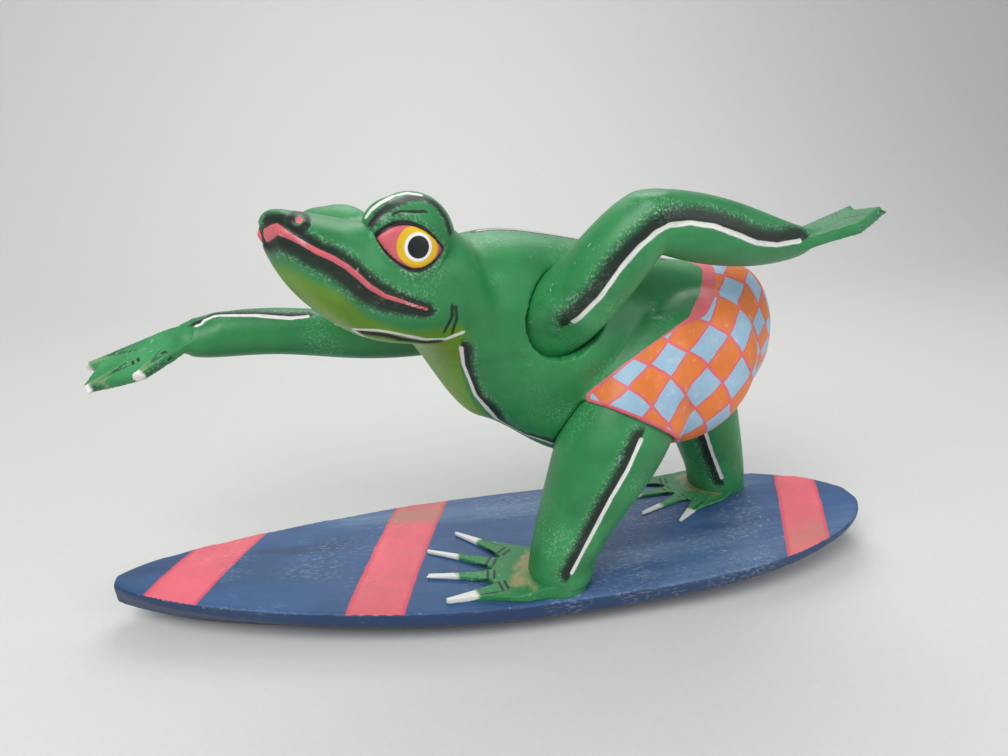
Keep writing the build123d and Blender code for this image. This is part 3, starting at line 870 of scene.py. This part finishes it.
def finger_marks(surface, fans):
    """Shares along a fan of toes or fingers, webs between them, lines across their joints and their edges."""
    nail, best, _ = along_fan(surface.spots, fans)
    joints = []
    for start, tip in fans:
        along = tip - start
        across = np.cross(along / np.linalg.norm(along), (0, 0, 1)) * JOINT_HALF
        for share in JOINT_SHARES:
            middle = start + along * share
            joints.append(surface.snap(np.array([middle - across, middle, middle + across])))
    nail[best > NAIL_HALF] = PALM_SHARE
    width = FINGER_ROOT * (1 - nail) * 0.5 + FINGER_EDGE
    past_palm = fade(nail, *PALM_SHARES)
    web = fade(best - width, 0.0, WEB_EDGE) * past_palm
    rim = (1 - fade(np.abs(best - width), *RIM_EDGE)) * past_palm
    return nail, web, joints, rim


def make_arm(name, tree):
    """Arm with its webbed hand; white line along it and black airbrush beside the line."""
    arm, paint = ARMS[name], ARM_PAINT[name]
    place, sizes = hand_place(name), {**HAND_FAN, "reach": HAND_REACH[name]}
    fingers = fan(tree, paint, sizes, place)
    piece = blank(f"frog_{name}_arm", [f"{name}_arm"], LIMB_GRAIN, ARM_SANDING, [fingers])
    skin = Surface(piece)
    stroke = skin.trace(arm["line"])
    nail, web, joints, rim = finger_marks(skin, toe_lines(sizes, place))
    shade = np.maximum(rim * 0.6, shadow(skin, stroke, arm["brush"], side=1))
    rub = ridge(skin.nearest([skin.trace(ARM_SEAM)]), SEAM_HALF) if name == "left" else None
    depth = -LINE_CUT * ridge(skin.nearest([stroke]), LINE_HALF)
    depth -= ELBOW_CUT * skin.round_spot(ELBOW, ELBOW_CORE, ELBOW_REACH)
    depth -= LOW_CUT * skin.round_spot(skin.hit(arm["low"]), LOW_CORE, LOW_REACH)
    skin.carve(depth)
    flesh(skin, white=[skin.snap(stroke)], ink=joints if name == "right" else (), shade=shade, rub=rub)
    skin.keep("nail", nail * arm["nail"])
    skin.keep("web", web * arm["web"])
    dress(piece, paint, f"{name}_arm")


def make_leg(name):
    """Leg with a white line down its side and black airbrush before it."""
    piece = blank(f"frog_{name}_leg", [f"{name}_leg"], LIMB_GRAIN, LEG_SANDING)
    skin = Surface(piece)
    spots = skin.spots.copy()
    spots[:, 2] -= LEG_SINK * (1 - fade(spots[:, 2], *LEG_SINK_HEIGHTS))
    skin.move(spots)
    stroke = skin.trace(LEG_LINES[name])
    shade = shadow(skin, stroke, LEG_BRUSH, side=-1)
    skin.carve(-LINE_CUT * ridge(skin.nearest([stroke]), LINE_HALF))
    flesh(skin, white=[skin.snap(stroke)], shade=shade)
    dress(piece, LIMB_PAINT, f"{name}_leg")


def make_foot(name, tree):
    """Webbed foot glued flat to the deck, with slim toes, white nails and black joint lines."""
    place = foot_place(name)
    lines = toe_lines(FOOT_FAN, place)
    toes = fan(tree, FOOT_PAINT, FOOT_FAN, place)
    piece = blank(f"frog_{name}_foot", [f"{name}_foot"], FOOT_GRAIN, FOOT_SANDING, [toes])
    skin = Surface(piece)
    off = skin.spots - np.array(place.translation)
    ahead = off @ np.array(place.to_3x3().col[0])
    ankle_far = np.linalg.norm(off[:, :2], axis=1)
    spots = skin.spots.copy()
    over = np.maximum(ankle_far - ANKLE_RADIUS, 0.0) * (1 - fade(ahead, *HEEL_AHEAD)) * HEEL_TUCK
    spots[:, :2] -= off[:, :2] * (over / np.maximum(ankle_far, 1.0))[:, None]
    share, _, middle = along_fan(spots, lines)
    spots[:, :2] += (middle - spots)[:, :2] * (fade(share, *TOE_SLIM_SHARES) * TOE_SLIM)[:, None]
    board = Surface(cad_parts["surfboard"]).tree
    falls = [board.ray_cast(Vector((x, y, z + DROP_HEIGHT)), Vector((0, 0, -1)))[0] for x, y, z in spots]
    deck = np.array([fall.z if fall else z for fall, z in zip(falls, spots[:, 2])])
    above = np.maximum(spots[:, 2] - deck - TOE_FLOOR, 0.0)
    spots[:, 2] -= above * fade(ankle_far, *TOE_LOWER_FAR) * TOE_LOWER
    skin.move(spots)
    nail, _, joints, rim = finger_marks(skin, lines)
    flesh(skin, ink=joints, shade=rim * 0.8, rub=fade(nail, 0.0, 0.4) * 0.3)
    skin.keep("nail", nail)
    skin.keep("glue", (1 - fade(ankle_far, *GLUE_FAR)) * fade(ahead, *GLUE_AHEAD))
    dress(piece, FOOT_PAINT, f"{name}_foot")


def make_board():
    """Surfboard, sanded round at its edges."""
    piece = blank("painted_surfboard", ["surfboard"], BOARD_GRAIN, BOARD_SANDING)
    skin = Surface(piece)
    # Painted shade: how far each face turns away from up, which darkens the rails and underside
    skin.keep("rail_shade", 1 - fade(skin.normals[:, 2], *RAIL_SHADE_LOOK))
    skin.keep("rub", ridge(np.abs(skin.normals[:, 2] - EDGE_LOOK), EDGE_SPAN) * EDGE_RUB)
    dress(piece, board_paint(), "surfboard")


ARM_PAINT = {name: frog_skin(f"{name} arm paint", webbed=True) for name in ARMS}
LIMB_PAINT = frog_skin("leg paint")
FOOT_PAINT = frog_skin("foot paint", webbed=True)
TOES = fan_tree()

make_body()
for side_name in ARMS:
    make_arm(side_name, TOES)
for side_name in LEG_LINES:
    make_leg(side_name)
for side_name in FOOT_PLACES:
    make_foot(side_name, TOES)
make_board()
PEG = peg_wood()
for node_name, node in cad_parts.items():
    if node_name.endswith("_peg"):
        node.data.materials.clear()
        node.data.materials.append(PEG)


# Floor, lights and camera

def make_stage():
    """Pale floor that turns up into a backdrop, soft lamps and an even sky."""
    coat = Coat("pale floor")
    speck = coat.noise(400.0)
    pale = coat.mix(speck, srgb(206, 206, 203), srgb(213, 213, 210))
    coat.finish(pale, 0.7 + speck * 0.1, speck, 0.0001)
    coat.bsdf.inputs["Coat Weight"].default_value = 0.0
    shape = bmesh.new()
    rows = [(FLOOR_FRONT, 0.0), (FLOOR_BEND, 0.0)]
    rows += [(FLOOR_BEND + BEND_RADIUS * math.sin(a), BEND_RADIUS * (1 - math.cos(a)))
             for a in np.radians(np.arange(10, 91, 10))]
    rows += [(FLOOR_BEND + BEND_RADIUS, BACKDROP_TOP)]
    last = None
    for y, z in rows:
        pair = [shape.verts.new((x, y, z)) for x in (-FLOOR_HALF, FLOOR_HALF)]
        if last:
            shape.faces.new((last[0], last[1], pair[1], pair[0]))
        last = pair
    mesh = bpy.data.meshes.new("floor")
    shape.to_mesh(mesh)
    shape.free()
    floor = link("floor", mesh)
    mesh.materials.append(coat.material)
    mesh.shade_smooth()

    for name, spot, size, power in LAMPS:
        lamp = bpy.data.lights.new(name, "AREA")
        lamp.size, lamp.energy = size, power
        holder = bpy.data.objects.new(name, lamp)
        bpy.context.scene.collection.objects.link(holder)
        holder.location = spot
        holder.rotation_euler = (Vector(LAMP_AIM) - Vector(spot)).to_track_quat("-Z", "Y").to_euler()
    world = bpy.data.worlds.new("even sky")
    bpy.context.scene.world = world
    world.use_nodes = True
    sky = world.node_tree.nodes["Background"].inputs
    sky["Color"].default_value, sky["Strength"].default_value = SKY_LIGHT, SKY_STRENGTH

    lens = bpy.data.cameras.new("camera")
    lens.sensor_width = SENSOR
    lens.lens = VIEW_FOCAL / VIEW_WIDE * SENSOR
    lens.clip_start, lens.clip_end = 0.01, 20.0
    camera = bpy.data.objects.new("camera", lens)
    bpy.context.scene.collection.objects.link(camera)
    turn = Matrix([VIEW_RIGHT, VIEW_UP, -VIEW_AHEAD]).transposed().to_4x4()
    camera.matrix_world = Matrix.Translation(VIEW_PLACE * MM) @ turn
    bpy.context.scene.camera = camera
    bpy.context.scene.view_settings.view_transform = "Standard"


make_stage()
